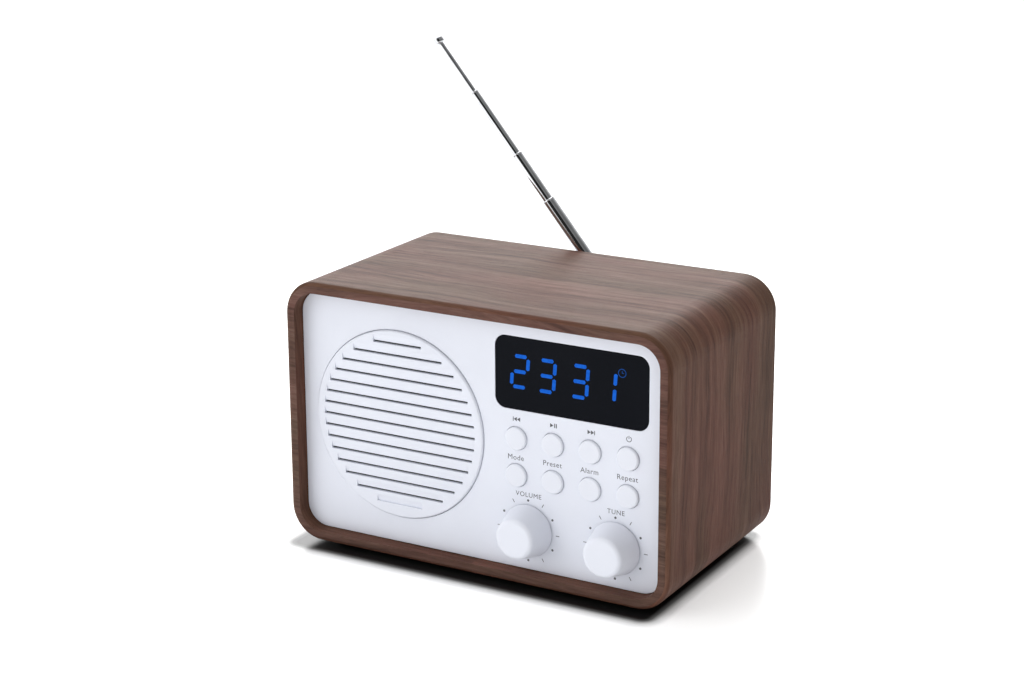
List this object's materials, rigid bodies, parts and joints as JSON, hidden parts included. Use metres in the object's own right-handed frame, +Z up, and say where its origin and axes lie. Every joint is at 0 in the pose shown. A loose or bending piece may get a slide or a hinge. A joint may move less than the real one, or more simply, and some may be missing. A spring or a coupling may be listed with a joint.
{
  "type": "tabletop radio",
  "caption": "Compact tabletop radio: walnut sleeve, white front with round slatted speaker grille, smoked clock display, push buttons, two knobs and a telescopic antenna.",
  "frame": {"origin": "middle of the radio's footprint, from the knobs' fronts to the antenna's fork, on the surface that the feet stand on", "axes": "+Z up, -Y out of the front panel, +X to the right as seen from the front"},
  "size_m": [0.19, 0.1229, 0.216],
  "materials": {
    "walnut_veneer": "satin open-grain walnut veneer",
    "softwood_block": "sawn",
    "white_panel_plastic": "fine matt",
    "white_control_plastic": "satin",
    "smoked_window": "polished, smoked",
    "display_block": "gloss",
    "speaker_cloth": "woven",
    "cone_paper": "pressed paper",
    "rubber_black": "matt",
    "antenna_chrome": "polished",
    "zinc_steel": "satin",
    "magnet_ferrite": "sintered",
    "screw_steel": "black zinc",
    "circuit_board": "solder resist",
    "black_plastic": "matt",
    "copper_coil": "enamelled",
    "wire_sleeve": "satin",
    "cell_wrap": "film"
  },
  "bodies": {
    "radio": {"antenna_contact_ring": "zinc_steel", "antenna_wire": "wire_sleeve", "aux_socket": "black_plastic", "battery_cell": "cell_wrap", "battery_contacts": "zinc_steel", "board_cable": "wire_sleeve", "board_screws": "screw_steel", "bushing_nuts": "zinc_steel", "capacitors": "black_plastic", "dc_socket": "black_plastic", "display_window": "smoked_window", "front_corner_blocks": "softwood_block", "front_panel": "white_panel_plastic", "grille_cloth": "speaker_cloth", "led_display": "display_block", "main_board": "circuit_board", "panel_screws": "screw_steel", "rear_corner_blocks": "softwood_block", "rear_cover": "white_panel_plastic", "rear_screws": "screw_steel", "rubber_feet": "rubber_black", "socket_board": "circuit_board", "socket_screws": "screw_steel", "speaker_coil": "copper_coil", "speaker_cone": "cone_paper", "speaker_dust_cap": "cone_paper", "speaker_frame": "zinc_steel", "speaker_grille": "white_panel_plastic", "speaker_magnet": "magnet_ferrite", "speaker_screws": "screw_steel", "speaker_spider": "cone_paper", "speaker_surround": "rubber_black", "speaker_wire": "wire_sleeve", "tact_switches": "black_plastic", "tune_encoder": "black_plastic", "tuner_can": "zinc_steel", "usb_socket": "zinc_steel", "volume_control": "black_plastic", "wood_cabinet": "walnut_veneer"},
    "volume_dial": {"volume_knob": "white_control_plastic", "volume_shaft": "zinc_steel"},
    "tune_dial": {"tune_knob": "white_control_plastic", "tune_shaft": "zinc_steel"},
    "key_previous": {"button_previous": "white_control_plastic"},
    "key_play_pause": {"button_play_pause": "white_control_plastic"},
    "key_next": {"button_next": "white_control_plastic"},
    "key_power": {"button_power": "white_control_plastic"},
    "key_mode": {"button_mode": "white_control_plastic"},
    "key_preset": {"button_preset": "white_control_plastic"},
    "key_alarm": {"button_alarm": "white_control_plastic"},
    "key_repeat": {"button_repeat": "white_control_plastic"},
    "door": {"battery_door": "white_panel_plastic"},
    "swivel": {"antenna_swivel": "antenna_chrome", "antenna_swivel_screw": "zinc_steel", "antenna_hinge_pin": "antenna_chrome"},
    "rod_1": {"antenna_section_1": "antenna_chrome"},
    "rod_2": {"antenna_section_2": "antenna_chrome"},
    "rod_3": {"antenna_section_3": "antenna_chrome"},
    "rod_4": {"antenna_section_4": "antenna_chrome", "antenna_tip": "antenna_chrome"}
  },
  "joints": [
    {"name": "volume_turn", "type": "hinge", "parent": "radio", "child": "volume_dial", "pos_m": [0.0251, -0.04845, 0.0245], "axis": [0, 1, 0], "range_deg": [-150, 150]},
    {"name": "tune_turn", "type": "hinge", "parent": "radio", "child": "tune_dial", "pos_m": [0.0671, -0.04845, 0.0245], "axis": [0, 1, 0], "continuous": true},
    {"name": "previous_press", "type": "slide", "parent": "radio", "child": "key_previous", "axis": [0, 1, 0], "range_m": [0, 0.0008], "stiffness_N_per_m": 600},
    {"name": "play_pause_press", "type": "slide", "parent": "radio", "child": "key_play_pause", "axis": [0, 1, 0], "range_m": [0, 0.0008], "stiffness_N_per_m": 600},
    {"name": "next_press", "type": "slide", "parent": "radio", "child": "key_next", "axis": [0, 1, 0], "range_m": [0, 0.0008], "stiffness_N_per_m": 600},
    {"name": "power_press", "type": "slide", "parent": "radio", "child": "key_power", "axis": [0, 1, 0], "range_m": [0, 0.0008], "stiffness_N_per_m": 600},
    {"name": "mode_press", "type": "slide", "parent": "radio", "child": "key_mode", "axis": [0, 1, 0], "range_m": [0, 0.0008], "stiffness_N_per_m": 600},
    {"name": "preset_press", "type": "slide", "parent": "radio", "child": "key_preset", "axis": [0, 1, 0], "range_m": [0, 0.0008], "stiffness_N_per_m": 600},
    {"name": "alarm_press", "type": "slide", "parent": "radio", "child": "key_alarm", "axis": [0, 1, 0], "range_m": [0, 0.0008], "stiffness_N_per_m": 600},
    {"name": "repeat_press", "type": "slide", "parent": "radio", "child": "key_repeat", "axis": [0, 1, 0], "range_m": [0, 0.0008], "stiffness_N_per_m": 600},
    {"name": "door_open", "type": "hinge", "parent": "radio", "child": "door", "pos_m": [-0.038, 0.04925, 0.0147], "axis": [-1, 0, 0], "range_deg": [0, 90]},
    {"name": "antenna_turn", "type": "hinge", "parent": "radio", "child": "swivel", "pos_m": [0.0162, 0.05825, 0.0951], "axis": [0, 1, 0], "range_deg": [-50, 129]},
    {"name": "antenna_tilt", "type": "hinge", "parent": "swivel", "child": "rod_1", "pos_m": [0.0162, 0.05825, 0.0951], "axis": [-0.7683, 0, -0.6401], "range_deg": [0, 90]},
    {"name": "antenna_slide_2", "type": "slide", "parent": "rod_1", "child": "rod_2", "axis": [-0.6401, 0, 0.7683], "range_m": [-0.0253, 0.0197]},
    {"name": "antenna_slide_3", "type": "slide", "parent": "rod_2", "child": "rod_3", "axis": [-0.6401, 0, 0.7683], "range_m": [-0.0348, 0.0072]},
    {"name": "antenna_slide_4", "type": "slide", "parent": "rod_3", "child": "rod_4", "axis": [-0.6401, 0, 0.7683], "range_m": [-0.0273, 0.0122]}
  ]
}
